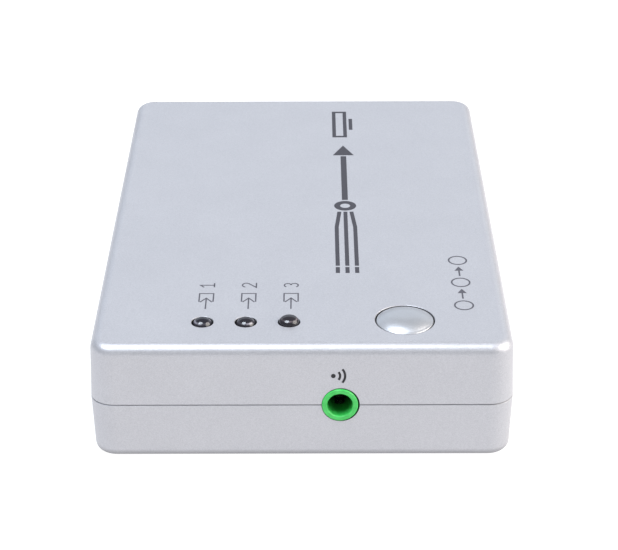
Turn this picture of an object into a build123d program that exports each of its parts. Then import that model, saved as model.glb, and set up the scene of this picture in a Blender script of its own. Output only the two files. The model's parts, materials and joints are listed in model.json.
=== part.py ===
from build123d import *
from math import atan2, cos, degrees, radians, sin
import os

# A switch box with three video inputs and one output. The origin is the centre of its flat
# base, +X faces the output and power side, +Y points away from the remote eye's jack, +Z is up.
# Sizes are millimetres and angles are degrees.

# Case, measured at the seam, where the two shells are widest
case_width = 60.0
case_length = 90.8
case_height = 18.0
seam_height = 8.8
wall = 2.0
floor_thickness = 2.0
ceiling_thickness = 2.0
draft = 2.0
corner_radius = 3.5
cavity_radius = 1.2
top_edge_radius = 1.6
base_edge_radius = 1.25
seam_chamfer = 0.12
hole_chamfer = 0.1
lip_height = 1.2
lip_thickness = 0.9
lip_gap = 0.08

# Posts, ribs and pegs moulded with the shells
post_inset = 5.7
top_post_radius = 2.8
bottom_post_radius = 3.7
gusset_thickness = 1.2
gusset_reach = 4.2
rest_thickness = 1.2
rest_reach = 1.5
rest_place_shares = (-0.74, -0.25, 0.25, 0.74)
hold_rib_thickness = 1.2
hold_rib_length = 6.5
hold_rib_spread = 8.0
hold_gap = 0.1
peg_radius = 1.0
peg_gap = 0.1
peg_rise = 0.8
peg_chamfer = 0.3
peg_shoulder_radius = 2.2
peg_place_shares = ((-0.3, 0.82), (0.78, -0.66))

# Self-tapping case screws, without their threads
screw_radius = 1.15
screw_length = 9.0
screw_point = 1.0
screw_hole_gap = 0.25
thread_gap = 0.05
screw_head_radius = 2.2
screw_head_height = 1.5
screw_head_edge = 0.4
screw_head_gap = 0.3
screw_recess = 2.1
pilot_spare = 1.0
cross_width = 0.7
cross_length = 2.6
cross_depth = 0.9

# Circuit board
board_thickness = 1.6
board_gap = 0.6
board_corner = 1.0
connector_rise = 3.1
tail = 1.1
tail_gap = 0.2

# Video receptacles
socket_width = 14.0
socket_height = 4.55
socket_side = 2.65
socket_bevel = 1.75
socket_corner = 0.4
socket_depth = 11.2
socket_sheet = 0.3
socket_recess = 0.25
socket_flare = 0.35
socket_flare_depth = 0.8
socket_opening_gap = 0.3
socket_opening_radius = 0.8
socket_leg_width = 1.2
socket_leg_depths = (4.4, 9.2)
socket_spring_width = 1.6
socket_spring_length = 4.2
socket_spring_slot = 0.3
socket_spring_depth = 5.4
socket_spring_spread = 6.4
block_front = 8.4
foot_front = 9.9
foot_width = 9.6
tongue_width = 10.9
tongue_thickness = 1.6
tongue_lift = 0.15
tongue_recess = 1.8
tongue_chamfer = 0.25
contact_pitch = 1.0
contact_width = 0.32
contact_thickness = 0.2
contact_proud = 0.06
contact_front = 0.5
contact_stand = 0.15
contact_foot = 0.9
upper_contacts = 10
lower_contacts = 9
input_pitch = 22.0
input_count = 3
output_y = 14.0

# Power jack
power_y = -16.0
power_recess = 0.1
power_nose_radius = 2.9
power_body_width = 6.6
power_body_height = 6.0
power_body_length = 9.4
power_bore_radius = 1.85
power_bore_depth = 9.6
power_mouth_chamfer = 0.25
power_pin_radius = 0.65
power_pin_root_radius = 0.95
power_pin_recess = 0.6
power_tab_width = 1.6

# Remote eye's jack
jack_way_share = 0.44053
jack_hole_radius = 2.7
jack_shift = -0.09
jack_proud = 0.1
jack_nose_radius = 2.55
jack_nose_edge = 0.12
jack_body_width = 6.6
jack_body_height = 5.9
jack_body_length = 12.2
jack_bore_radius = 1.8
jack_bore_depth = 14.2
jack_spring_depths = (3.6, 7.2, 10.8)

# Leaf springs of both jacks
nose_gap = 0.2
body_gap = 0.3
leaf_thickness = 0.25
leaf_width = 1.1
leaf_length = 2.8
leaf_bite = 0.15
leaf_drop = 0.7
leaf_gap = 0.15

# Lamps: how far each dome stands above the case, in the order of the inputs
led_rises = (0.75, 0.75, 1.05)
led_row_x = -7.97
led_pitch = 6.16
led_inset = 7.62
led_radius = 1.45
led_hole_gap = 0.1
led_height = 5.3
led_dome_rise = 0.72
led_flange_radius = 1.8
led_flange_thickness = 1.0
lead_width = 0.5
lead_pitch = 2.54

# Push button
button_side_inset = 15.33
button_inset = 8.16
button_radius = 4.12
button_gap = 0.13
button_crown = 0.6
button_rim_drop = 0.1
button_rim_edge = 0.2
button_wall = 1.2
button_flange_radius = 5.1
button_flange_thickness = 1.0
button_play = 0.05
button_travel = 0.3
stem_radius = 2.0
stem_gap = 0.05
collar_gap = 0.25
collar_wall = 1.0
collar_depth = 2.4

# Tact switch
switch_width = 6.0
switch_base_height = 3.5
switch_height = 7.0
switch_cover_thickness = 0.25
switch_cover_margin = 0.1
switch_flap_width = 2.0
switch_flap_height = 2.2
plunger_radius = 1.75
plunger_gap = 0.08
plunger_flange_radius = 2.2
plunger_flange_thickness = 0.6
switch_cavity_radius = 2.45
dome_radius = 2.0
dome_crown_radius = 0.8
dome_spare = 0.2
dome_thickness = 0.1
dome_gap = 0.02
rivet_radius = 0.45
rivet_sides = 8
rivet_height = 0.15
rivet_spread = 4.4
terminal_spread = 4.5
terminal_width = 0.7
terminal_thickness = 0.3
terminal_rise = 0.6
terminal_stand = 0.15

# Leaded chips, with the places of all loose components as shares of half the board
chip_standoff = 0.1
chip_chamfer = 0.15
chip_lead_width = 0.22
chip_lead_thickness = 0.15
chip_lead_shoulder = 0.3
chip_lead_reach = 1.0
chip_mark_radius = 0.4
chip_mark_sides = 8
chip_mark_depth = 0.08
switch_chip_width = 7.0
switch_chip_height = 1.4
switch_chip_pitch = 0.5
switch_chip_side_leads = 12
switch_chip_place_shares = (-0.12, 0.1)
control_chip_length = 9.9
control_chip_width = 3.9
control_chip_height = 1.5
control_chip_pitch = 1.27
control_chip_side_leads = 8
control_chip_place_shares = (0.22, -0.46)
regulator_length = 6.5
regulator_width = 3.5
regulator_height = 1.6
regulator_pitch = 2.3
regulator_lead_width = 0.7
regulator_tab_width = 3.0
regulator_leads_count = 3
regulator_place_shares = (0.36, -0.1)

# Electrolytic capacitors, crystal and chip components
can_radius = 3.15
can_height = 5.4
can_edge = 0.3
can_crimp_height = 1.2
can_crimp_width = 0.6
can_crimp_depth = 0.25
can_base_width = 6.6
can_base_height = 1.0
can_base_chamfer = 1.3
can_place_shares = ((0.24, 0.76), (0.58, 0.76))
crystal_length = 11.0
crystal_width = 4.6
crystal_height = 3.5
crystal_edge = 0.4
crystal_base_margin = 0.3
crystal_base_thickness = 0.4
crystal_place_shares = (-0.22, -0.3)
chip_part_length = 1.6
chip_part_width = 0.8
chip_part_height = 0.45
resistor_pitch = 1.7
resistors_per_input = 4
resistor_x_share = -0.5
capacitor_pitch_x = 2.4
capacitor_pitch_y = 1.7
capacitor_columns = 2
capacitor_rows = 6
capacitor_place_shares = (0.26, 0.24)

# Places that follow from the sizes above
overrun = 1.0
half_width = case_width / 2
half_length = case_length / 2
ceiling = case_height - ceiling_thickness
board_top = seam_height - connector_rise
board_underside = board_top - board_thickness
board_width = case_width - 2 * (wall + board_gap)
board_length = case_length - 2 * (wall + board_gap)
post_x = half_width - post_inset
post_y = half_length - post_inset
led_y = led_inset - half_length
led_places = [(led_row_x + (i - 1) * led_pitch, led_y) for i in range(input_count)]
button_x = half_width - button_side_inset
button_y = button_inset - half_length
jack_hole_x = led_places[-1][0] + jack_way_share * (button_x - led_places[-1][0])
jack_x = jack_hole_x + jack_shift
dome_height = button_travel + dome_spare
seam = Plane.XY.offset(seam_height)
below = Plane(origin=(0, 0, 0), x_dir=(1, 0, 0), z_dir=(0, 0, -1))


def board_place(shares):
    """A place on the board from its shares of half the board's width and length."""
    return (shares[0] * board_width / 2, shares[1] * board_length / 2)


def save(piece, name):
    """Label a finished piece and write its STEP file."""
    piece.part.label = name
    export_step(piece.part, f"parts/{name}.step")


# Sockets: each plane lies in a socket's mouth, its z axis pointing out of the case
def side_front(side, y, recess):
    """The mouth of a socket on the long side of that sign."""
    return Plane(
        origin=(side * (half_width - recess), y, seam_height), x_dir=(0, side, 0), z_dir=(side, 0, 0)
    )


input_ys = [(i - (input_count - 1) / 2) * input_pitch for i in range(input_count)]
socket_fronts = {f"input_{i + 1}": side_front(-1, y, socket_recess) for i, y in enumerate(input_ys)}
socket_fronts["output"] = side_front(1, output_y, socket_recess)
power_front = side_front(1, power_y, power_recess)
jack_front = Plane(
    origin=(jack_x, -half_length - jack_proud, seam_height), x_dir=(1, 0, 0), z_dir=(0, -1, 0)
)
peg_places = [board_place(shares) for shares in peg_place_shares]


# Openings that both shells share, cut half from each
with BuildPart() as wall_openings:
    opening_width = socket_width + 2 * (socket_sheet + socket_flare + socket_opening_gap)
    opening_height = socket_height + 2 * (socket_sheet + socket_flare + socket_opening_gap)
    for front in socket_fronts.values():
        with BuildSketch(front):
            RectangleRounded(opening_width, opening_height, socket_opening_radius)
        extrude(amount=wall + overrun, both=True)
    with BuildSketch(power_front):
        Circle(power_nose_radius + nose_gap)
    extrude(amount=wall + overrun, both=True)
    with BuildSketch(jack_front):
        with Locations((-jack_shift, 0)):
            Circle(jack_hole_radius)
    extrude(amount=wall + overrun, both=True)


# Top shell
with BuildPart() as top_shell:
    with BuildSketch(seam):
        RectangleRounded(case_width, case_length, corner_radius)
    extrude(amount=case_height - seam_height, taper=draft)
    fillet(top_shell.faces().sort_by(Axis.Z)[-1].edges(), top_edge_radius)
    chamfer(top_shell.faces().sort_by(Axis.Z)[0].edges(), seam_chamfer)
    with BuildSketch(seam):
        RectangleRounded(case_width - 2 * wall, case_length - 2 * wall, cavity_radius)
    extrude(amount=ceiling - seam_height, taper=draft, mode=Mode.SUBTRACT)

    # Groove for the bottom shell's lip
    groove_inset = wall - lip_thickness - lip_gap
    with BuildSketch(seam):
        RectangleRounded(
            case_width - 2 * groove_inset, case_length - 2 * groove_inset, cavity_radius + lip_thickness
        )
    extrude(amount=lip_height + lip_gap, mode=Mode.SUBTRACT)

    # Screw posts, which press on the board, tied to the walls by gussets above the lip
    with BuildSketch(Plane.XY.offset(ceiling)):
        with GridLocations(2 * post_x, 2 * post_y, 2, 2):
            Circle(top_post_radius)
    extrude(amount=board_top - ceiling)
    with BuildSketch(Plane.XY.offset(ceiling)):
        with GridLocations(2 * post_x + gusset_reach, 2 * post_y, 2, 2):
            Rectangle(gusset_reach, gusset_thickness)
        with GridLocations(2 * post_x, 2 * post_y + gusset_reach, 2, 2):
            Rectangle(gusset_thickness, gusset_reach)
    extrude(amount=seam_height + lip_height + 2 * lip_gap - ceiling)

    # Ribs that hold the receptacles down when a plug is pushed in
    rib_top = seam_height + socket_height / 2 + socket_sheet + hold_gap
    with BuildSketch(Plane.XY.offset(ceiling)):
        for front in socket_fronts.values():
            side = front.z_dir.X
            rib_x = side * (half_width - wall - hold_rib_length / 2)
            with Locations((rib_x, front.origin.Y)):
                with GridLocations(hold_rib_length, hold_rib_spread, 1, 2):
                    Rectangle(hold_rib_length, hold_rib_thickness)
    extrude(amount=rib_top - ceiling)

    # Collar that guides the button's flange
    with BuildSketch(Plane.XY.offset(ceiling)):
        with Locations((button_x, button_y)):
            Circle(button_flange_radius + collar_gap + collar_wall)
            Circle(button_flange_radius + collar_gap, mode=Mode.SUBTRACT)
    extrude(amount=-collar_depth)

    # Holes for the button, the lamps and the screws' points
    with Locations((button_x, button_y, case_height)):
        Hole(button_radius + button_gap, depth=ceiling_thickness)
    chamfer(top_shell.edges(Select.LAST).group_by(Axis.Z)[-1], hole_chamfer)
    with Locations(*[(x, y, case_height) for x, y in led_places]):
        Hole(led_radius + led_hole_gap, depth=ceiling_thickness)
    chamfer(top_shell.edges(Select.LAST).group_by(Axis.Z)[-1], hole_chamfer)
    pilot_depth = screw_recess + screw_length + pilot_spare - board_top
    with BuildSketch(Plane.XY.offset(board_top)):
        with GridLocations(2 * post_x, 2 * post_y, 2, 2):
            Circle(screw_radius + thread_gap)
    extrude(amount=pilot_depth, mode=Mode.SUBTRACT)
    add(wall_openings.part, mode=Mode.SUBTRACT)


# Bottom shell
with BuildPart() as bottom_shell:
    with BuildSketch(seam):
        RectangleRounded(case_width, case_length, corner_radius)
    extrude(amount=-seam_height, taper=draft)
    fillet(bottom_shell.faces().sort_by(Axis.Z)[0].edges(), base_edge_radius)
    chamfer(bottom_shell.faces().sort_by(Axis.Z)[-1].edges(), seam_chamfer)
    with BuildSketch(seam):
        RectangleRounded(case_width - 2 * wall, case_length - 2 * wall, cavity_radius)
    extrude(amount=floor_thickness - seam_height, taper=draft, mode=Mode.SUBTRACT)

    # Lip that stands in the top shell's groove
    lip_inset = wall - lip_thickness
    with BuildSketch(seam):
        RectangleRounded(
            case_width - 2 * lip_inset, case_length - 2 * lip_inset, cavity_radius + lip_thickness
        )
        RectangleRounded(case_width - 2 * wall, case_length - 2 * wall, cavity_radius, mode=Mode.SUBTRACT)
    extrude(amount=lip_height)

    # Posts and ribs that carry the board, and pegs that locate it
    with BuildSketch(Plane.XY.offset(floor_thickness)):
        with GridLocations(2 * post_x, 2 * post_y, 2, 2):
            Circle(bottom_post_radius)
        with Locations(*peg_places):
            Circle(peg_shoulder_radius)
    extrude(amount=board_underside - floor_thickness)
    with BuildSketch(Plane.XY.offset(floor_thickness)):
        with Locations(*[(0, share * half_length) for share in rest_place_shares]):
            Rectangle(case_width - wall, rest_thickness)
        Rectangle(case_width - 2 * (wall + rest_reach), case_length, mode=Mode.SUBTRACT)
    extrude(amount=board_underside - floor_thickness)
    with BuildSketch(Plane.XY.offset(board_underside)):
        with Locations(*peg_places):
            Circle(peg_radius)
    extrude(amount=board_thickness + peg_rise)
    chamfer(bottom_shell.edges(Select.LAST).group_by(Axis.Z)[-1], peg_chamfer)

    # Screw holes, counterbored from below
    with Locations(below):
        with GridLocations(2 * post_x, 2 * post_y, 2, 2):
            CounterBoreHole(
                screw_radius + screw_hole_gap, screw_head_radius + screw_head_gap, screw_recess,
                board_underside,
            )
    add(wall_openings.part, mode=Mode.SUBTRACT)


# Case screws: a shank with a point, a bevelled head and a cross recess
def case_screw(place):
    """One screw whose head sits on the counterbore's seat at that place."""
    section = Plane(origin=(*place, screw_recess), x_dir=(1, 0, 0), z_dir=(0, -1, 0))
    with BuildPart() as screw:
        with BuildSketch(section):
            with BuildLine():
                Polyline(
                    (0, screw_length), (screw_radius, screw_length - screw_point), (screw_radius, 0),
                    (screw_head_radius, 0), (screw_head_radius, screw_head_edge - screw_head_height),
                    (screw_head_radius - screw_head_edge, -screw_head_height), (0, -screw_head_height),
                    close=True,
                )
            make_face()
        revolve(axis=Axis((*place, 0), (0, 0, 1)))
        with BuildSketch(Plane(origin=(*place, screw_recess - screw_head_height), z_dir=(0, 0, 1))):
            Rectangle(cross_length, cross_width)
            Rectangle(cross_width, cross_length)
        extrude(amount=cross_depth, mode=Mode.SUBTRACT)
    return screw.part


with BuildPart() as case_screws:
    for x_sign in (-1, 1):
        for y_sign in (-1, 1):
            add(case_screw((x_sign * post_x, y_sign * post_y)))


# Video receptacles, made once with the mouth on the XY plane, +Z out of the case and +Y up
def socket_profile(growth):
    """The mouth's outline with its two lower bevels and eased corners, grown outwards."""
    half, top = socket_width / 2, socket_height / 2
    with BuildSketch() as profile:
        with BuildLine():
            Polyline(
                (-half, top), (half, top), (half, top - socket_side), (half - socket_bevel, -top),
                (socket_bevel - half, -top), (-half, top - socket_side), close=True,
            )
        make_face()
        chamfer(profile.vertices(), socket_corner)
        if growth > 0:
            offset(amount=growth, kind=Kind.INTERSECTION)
    return profile.sketch


# Folded steel shell with its flared mouth, spring fingers and four legs
flare_angle = degrees(atan2(socket_flare, socket_flare_depth))
sheet_top = socket_height / 2 + socket_sheet
leg_top = socket_height / 2 - socket_side + socket_corner
leg_bottom = -connector_rise - board_thickness - tail
with BuildPart() as socket_shell:
    with BuildSketch():
        add(socket_profile(socket_sheet))
    extrude(amount=-socket_depth)
    with BuildSketch():
        add(socket_profile(socket_sheet + socket_flare))
    extrude(amount=-socket_flare_depth, taper=flare_angle)
    with BuildSketch():
        add(socket_profile(0))
    extrude(amount=-socket_depth, mode=Mode.SUBTRACT)
    with BuildSketch():
        add(socket_profile(socket_flare))
    extrude(amount=-socket_flare_depth, taper=flare_angle, mode=Mode.SUBTRACT)

    # Notch under the insulator's foot
    with BuildSketch(Plane.XY.offset(-foot_front)):
        with Locations((0, -sheet_top)):
            Rectangle(foot_width, 2 * socket_sheet)
    extrude(amount=foot_front - socket_depth, mode=Mode.SUBTRACT)

    # Spring fingers, slotted through the roof and the floor
    with BuildSketch(Plane(origin=(0, sheet_top, 0), x_dir=(1, 0, 0), z_dir=(0, 1, 0))):
        with Locations((0, socket_spring_depth)):
            with GridLocations(socket_spring_spread, 0, 2, 1):
                Rectangle(
                    socket_spring_width + 2 * socket_spring_slot,
                    socket_spring_length + socket_spring_slot,
                )
        with Locations((0, socket_spring_depth + socket_spring_slot / 2)):
            with GridLocations(socket_spring_spread, 0, 2, 1):
                Rectangle(socket_spring_width, socket_spring_length, mode=Mode.SUBTRACT)
    extrude(amount=-2 * sheet_top, mode=Mode.SUBTRACT)

    # Legs, soldered through the board
    with BuildSketch(*[Plane.XY.offset(-depth) for depth in socket_leg_depths]):
        with Locations((0, (leg_top + leg_bottom) / 2)):
            with GridLocations(socket_width + socket_sheet, 0, 2, 1):
                Rectangle(socket_sheet, leg_top - leg_bottom)
    extrude(amount=socket_leg_width / 2, both=True)

# Two rows of bent strips that lie in the tongue and end in feet on the board
strip_start = tongue_recess + contact_front
strip_drop = socket_depth + contact_stand
upper_level = tongue_lift + tongue_thickness / 2 + contact_proud - contact_thickness
lower_level = tongue_lift - tongue_thickness / 2 - contact_proud
with BuildPart() as socket_contacts:
    for count, level in ((upper_contacts, upper_level), (lower_contacts, lower_level)):
        places = [(i - (count - 1) / 2) * contact_pitch for i in range(count)]
        with BuildSketch(*[Plane((x, 0, 0), x_dir=(0, 0, -1), z_dir=(1, 0, 0)) for x in places]):
            with BuildLine():
                Polyline(
                    (strip_start, level), (strip_start, level + contact_thickness),
                    (strip_drop + contact_thickness, level + contact_thickness),
                    (strip_drop + contact_thickness, contact_thickness - connector_rise),
                    (strip_drop + contact_foot, contact_thickness - connector_rise),
                    (strip_drop + contact_foot, -connector_rise), (strip_drop, -connector_rise),
                    (strip_drop, level), close=True,
                )
            make_face()
        extrude(amount=contact_width / 2, both=True)

# Insulator: its tongue, its rear block and the foot that stands on the board
with BuildPart() as socket_insulator:
    with BuildSketch(Plane.XY.offset(-tongue_recess)):
        with Locations((0, tongue_lift)):
            Rectangle(tongue_width, tongue_thickness)
    extrude(amount=tongue_recess - block_front)
    chamfer(socket_insulator.faces().sort_by(Axis.Z)[-1].edges(), tongue_chamfer)
    with BuildSketch(Plane.XY.offset(-block_front)):
        add(socket_profile(0))
    extrude(amount=block_front - socket_depth)
    with BuildSketch(Plane.XY.offset(-foot_front)):
        with Locations((0, -(socket_height / 2 + connector_rise) / 2)):
            Rectangle(foot_width, connector_rise - socket_height / 2)
    extrude(amount=foot_front - socket_depth)
    add(socket_contacts.part, mode=Mode.SUBTRACT)


def placed(prototype, front):
    """A copy of a prototype with its mouth on that plane."""
    with BuildPart() as copy:
        with Locations(front):
            add(prototype.part)
    return copy


receptacles = {}
for name, front in socket_fronts.items():
    receptacles[f"{name}_shell"] = placed(socket_shell, front)
    receptacles[f"{name}_insulator"] = placed(socket_insulator, front)
    receptacles[f"{name}_contacts"] = placed(socket_contacts, front)


# Jacks: planes whose x axis runs into the jack and whose y axis points up
def leaf_spring(section, depth, bore_radius):
    """A humped leaf that bites into the bore from below and ends in a leg through the board."""
    crest = leaf_bite - bore_radius
    low = crest - leaf_drop
    end = depth + leaf_length
    bottom = -connector_rise - board_thickness - tail
    with BuildPart() as leaf:
        with BuildSketch(section):
            with BuildLine():
                Polyline(
                    (depth, low + leaf_thickness), (depth + leaf_length / 2, crest),
                    (end, low + leaf_thickness), (end + leaf_thickness, low + leaf_thickness),
                    (end + leaf_thickness, bottom), (end, bottom), (end, low),
                    (depth + leaf_length / 2, crest - leaf_thickness), (depth, low), close=True,
                )
            make_face()
        extrude(amount=leaf_width / 2, both=True)
    return leaf.part


def jack_section(front):
    """The upright plane along a jack's axis."""
    return Plane(origin=front.origin, x_dir=-front.z_dir, z_dir=front.x_dir)


def leaf_slot(front, depth):
    """The room that a leaf spring needs in its jack's body, open to the board."""
    length = leaf_length + leaf_thickness + 2 * leaf_gap
    with BuildPart() as slot:
        with BuildSketch(jack_section(front)):
            with Locations((depth + (leaf_length + leaf_thickness) / 2, -connector_rise / 2)):
                Rectangle(length, connector_rise)
        extrude(amount=leaf_width / 2 + leaf_gap, both=True)
    return slot.part


def jack_body(front, nose, body, bore, depths):
    """A round nose on a block that stands on the board, bored and slotted for its springs."""
    nose_radius, nose_length = nose
    width, height, length = body
    bore_radius, bore_depth = bore
    with BuildPart() as jack:
        with BuildSketch(front):
            Circle(nose_radius)
        extrude(amount=-nose_length)
        with BuildSketch(front.offset(-nose_length)):
            with Locations((0, height / 2 - connector_rise)):
                Rectangle(width, height)
        extrude(amount=-length)
        with BuildSketch(front):
            Circle(bore_radius)
        extrude(amount=-bore_depth, mode=Mode.SUBTRACT)
        for depth in depths:
            add(leaf_slot(front, depth), mode=Mode.SUBTRACT)
    return jack.part


power_nose_length = wall - power_recess + body_gap
power_end = power_nose_length + power_body_length
power_spring_depth = power_nose_length + power_body_length / 2 - leaf_length / 2
with BuildPart() as power_jack_housing:
    add(jack_body(
        power_front,
        (power_nose_radius, power_nose_length),
        (power_body_width, power_body_height, power_body_length),
        (power_bore_radius, power_bore_depth),
        (power_spring_depth,),
    ))
    mouth = power_jack_housing.edges().filter_by(GeomType.CIRCLE).group_by(Axis.X)[-1]
    chamfer(mouth.sort_by(SortBy.RADIUS)[0], power_mouth_chamfer)
    with BuildSketch(power_front.offset(-power_bore_depth)):
        Circle(power_pin_root_radius)
    extrude(amount=power_bore_depth - power_end, mode=Mode.SUBTRACT)

with BuildPart() as power_jack_pin:
    with BuildSketch(power_front.offset(-power_pin_recess)):
        Circle(power_pin_radius)
    extrude(amount=power_pin_recess - power_bore_depth)
    tip = power_jack_pin.edges().filter_by(GeomType.CIRCLE).sort_by(Axis.X)[-1]
    chamfer(tip, power_pin_radius / 2)
    with BuildSketch(power_front.offset(-power_bore_depth)):
        Circle(power_pin_root_radius)
    extrude(amount=power_bore_depth - power_end)
    tab_bottom = -connector_rise - board_thickness - tail
    with BuildSketch(power_front.offset(-power_end)):
        with Locations((0, (power_pin_radius + tab_bottom) / 2)):
            Rectangle(power_tab_width, power_pin_radius - tab_bottom)
    extrude(amount=-leaf_thickness)

with BuildPart() as power_jack_spring:
    add(leaf_spring(jack_section(power_front), power_spring_depth, power_bore_radius))

jack_nose_length = jack_proud + wall + body_gap
with BuildPart() as ir_jack_body:
    add(jack_body(
        jack_front,
        (jack_nose_radius, jack_nose_length),
        (jack_body_width, jack_body_height, jack_body_length),
        (jack_bore_radius, jack_bore_depth),
        jack_spring_depths,
    ))
    chamfer(ir_jack_body.edges().filter_by(GeomType.CIRCLE).group_by(Axis.Y)[0], jack_nose_edge)

with BuildPart() as ir_jack_springs:
    for depth in jack_spring_depths:
        add(leaf_spring(jack_section(jack_front), depth, jack_bore_radius))


# Lamps
def led_lens(place, rise):
    """A domed lens on its flange, turned about its upright axis."""
    section = Plane(origin=(*place, case_height + rise - led_height), x_dir=(1, 0, 0), z_dir=(0, -1, 0))
    with BuildPart() as lens:
        with BuildSketch(section):
            with BuildLine():
                Polyline(
                    (0, led_height), (0, 0), (led_flange_radius, 0),
                    (led_flange_radius, led_flange_thickness), (led_radius, led_flange_thickness),
                    (led_radius, led_height - led_dome_rise),
                )
                TangentArc((0, led_height), (led_radius, led_height - led_dome_rise), tangent=(1, 0))
            make_face()
        revolve(axis=Axis((*place, 0), (0, 0, 1)))
    return lens


lenses = {f"led_{i + 1}": led_lens(led_places[i], led_rises[i]) for i in range(input_count)}
with BuildPart() as led_leads:
    for place, rise in zip(led_places, led_rises):
        with BuildSketch(Plane.XY.offset(board_underside - tail)):
            with Locations(place):
                with GridLocations(lead_pitch, 0, 2, 1):
                    Rectangle(lead_width, lead_width)
        extrude(amount=case_height + rise - led_height - board_underside + tail)


# Push button: a crowned cap with a flange under the ceiling and a stem on the tact switch
switch_top = board_top + switch_height
with BuildPart() as select_button:
    rim_top = case_height - button_rim_drop
    flange_top = ceiling - button_play
    flange_bottom = flange_top - button_flange_thickness
    hollow_top = rim_top - button_wall
    section = Plane(origin=(button_x, button_y, 0), x_dir=(1, 0, 0), z_dir=(0, -1, 0))
    with BuildSketch(section):
        with BuildLine():
            Polyline(
                (0, rim_top + button_crown), (0, switch_top + stem_gap), (stem_radius, switch_top + stem_gap),
                (stem_radius, hollow_top), (button_radius - button_wall, hollow_top),
                (button_radius - button_wall, flange_bottom), (button_flange_radius, flange_bottom),
                (button_flange_radius, flange_top), (button_radius, flange_top),
                (button_radius, rim_top - button_rim_edge), (button_radius - button_rim_edge, rim_top),
            )
            TangentArc(
                (0, rim_top + button_crown), (button_radius - button_rim_edge, rim_top), tangent=(1, 0)
            )
        make_face()
    revolve(axis=Axis((button_x, button_y, 0), (0, 0, 1)))


# Tact switch
base_top = board_top + switch_base_height
cavity_depth = dome_height + dome_gap + plunger_flange_thickness + plunger_gap
with BuildPart() as switch_base:
    with BuildSketch(Plane.XY.offset(board_top)):
        with Locations((button_x, button_y)):
            Rectangle(switch_width, switch_width)
    extrude(amount=switch_base_height)
    with Locations((button_x, button_y, base_top)):
        Hole(switch_cavity_radius, depth=cavity_depth)

with BuildPart() as switch_cover:
    cover_width = switch_width + 2 * switch_cover_margin
    with BuildSketch(Plane.XY.offset(base_top)):
        with Locations((button_x, button_y)):
            Rectangle(cover_width, switch_width)
            Circle(plunger_radius + plunger_gap, mode=Mode.SUBTRACT)
    extrude(amount=switch_cover_thickness)
    with BuildSketch(Plane.XY.offset(base_top + switch_cover_thickness)):
        with Locations((button_x, button_y)):
            with GridLocations(rivet_spread, rivet_spread, 2, 2):
                RegularPolygon(rivet_radius, rivet_sides)
    extrude(amount=rivet_height)
    with BuildSketch(Plane.XY.offset(base_top)):
        with Locations((button_x, button_y)):
            with GridLocations(switch_width + switch_cover_margin, 0, 2, 1):
                Rectangle(switch_cover_margin, switch_flap_width)
    extrude(amount=-switch_flap_height)

with BuildPart() as switch_plunger:
    with BuildSketch(Plane.XY.offset(base_top - plunger_gap - plunger_flange_thickness)):
        with Locations((button_x, button_y)):
            Circle(plunger_flange_radius)
    extrude(amount=plunger_flange_thickness)
    with BuildSketch(Plane.XY.offset(base_top - plunger_gap)):
        with Locations((button_x, button_y)):
            Circle(plunger_radius)
    extrude(amount=switch_top - base_top + plunger_gap)

with BuildPart() as switch_dome:
    cavity_floor = base_top - cavity_depth
    section = Plane(origin=(button_x, button_y, cavity_floor), x_dir=(1, 0, 0), z_dir=(0, -1, 0))
    crown = dome_height - dome_thickness
    with BuildSketch(section):
        with BuildLine():
            Polyline(
                (0, crown), (dome_crown_radius, crown), (dome_radius, 0), (dome_radius, dome_thickness),
                (dome_crown_radius, dome_height), (0, dome_height), close=True,
            )
        make_face()
    revolve(axis=Axis((button_x, button_y, 0), (0, 0, 1)))

with BuildPart() as switch_terminals:
    reach = terminal_stand + terminal_thickness
    bottom = board_underside - tail
    rise = board_top + terminal_rise
    for side in (-1, 1):
        for shift in (-terminal_spread / 2, terminal_spread / 2):
            edge = (button_x + shift, button_y + side * switch_width / 2, 0)
            with BuildSketch(Plane(origin=edge, x_dir=(0, side, 0), z_dir=(side, 0, 0))):
                with BuildLine():
                    Polyline(
                        (0, rise), (0, rise + terminal_thickness), (reach, rise + terminal_thickness),
                        (reach, bottom), (terminal_stand, bottom), (terminal_stand, rise), close=True,
                    )
                make_face()
            extrude(amount=terminal_width / 2, both=True)


# Chips: flat moulded bodies with gull-wing leads
def chip_body(place, length, width, height):
    """A moulded body with chamfered top edges and a dimple by its first lead."""
    dimple_shift = (chip_mark_radius * 2 - length / 2, chip_mark_radius * 2 - width / 2)
    top = board_top + chip_standoff + height
    with BuildPart() as body:
        with BuildSketch(Plane.XY.offset(board_top + chip_standoff)):
            with Locations(place):
                Rectangle(length, width)
        extrude(amount=height)
        chamfer(body.faces().sort_by(Axis.Z)[-1].edges(), chip_chamfer)
        with BuildSketch(Plane.XY.offset(top)):
            with Locations((place[0] + dimple_shift[0], place[1] + dimple_shift[1])):
                RegularPolygon(chip_mark_radius, chip_mark_sides)
        extrude(amount=-chip_mark_depth, mode=Mode.SUBTRACT)
    return body


def gull_wing_row(edge, height, pitch, count, width):
    """A row of bent leads centred on a plane whose x axis points away from the body."""
    middle = chip_standoff + (height - chip_lead_thickness) / 2
    shoulder = chip_lead_shoulder + chip_lead_thickness
    shifts = [(i - (count - 1) / 2) * pitch for i in range(count)]
    with BuildPart() as row:
        with BuildSketch(*[edge.offset(shift) for shift in shifts]):
            with BuildLine():
                Polyline(
                    (0, middle), (0, middle + chip_lead_thickness), (shoulder, middle + chip_lead_thickness),
                    (shoulder, chip_lead_thickness), (chip_lead_reach, chip_lead_thickness),
                    (chip_lead_reach, 0), (chip_lead_shoulder, 0), (chip_lead_shoulder, middle), close=True,
                )
            make_face()
        extrude(amount=width / 2, both=True)
    return row.part


def edge_plane(place, angle, distance):
    """An upright plane at that distance from a body's centre, facing that way."""
    out = Vector(round(cos(radians(angle))), round(sin(radians(angle))), 0)
    origin = Vector(*place, board_top) + out * distance
    return Plane(origin=origin, x_dir=out, z_dir=(out.Y, -out.X, 0))


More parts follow.
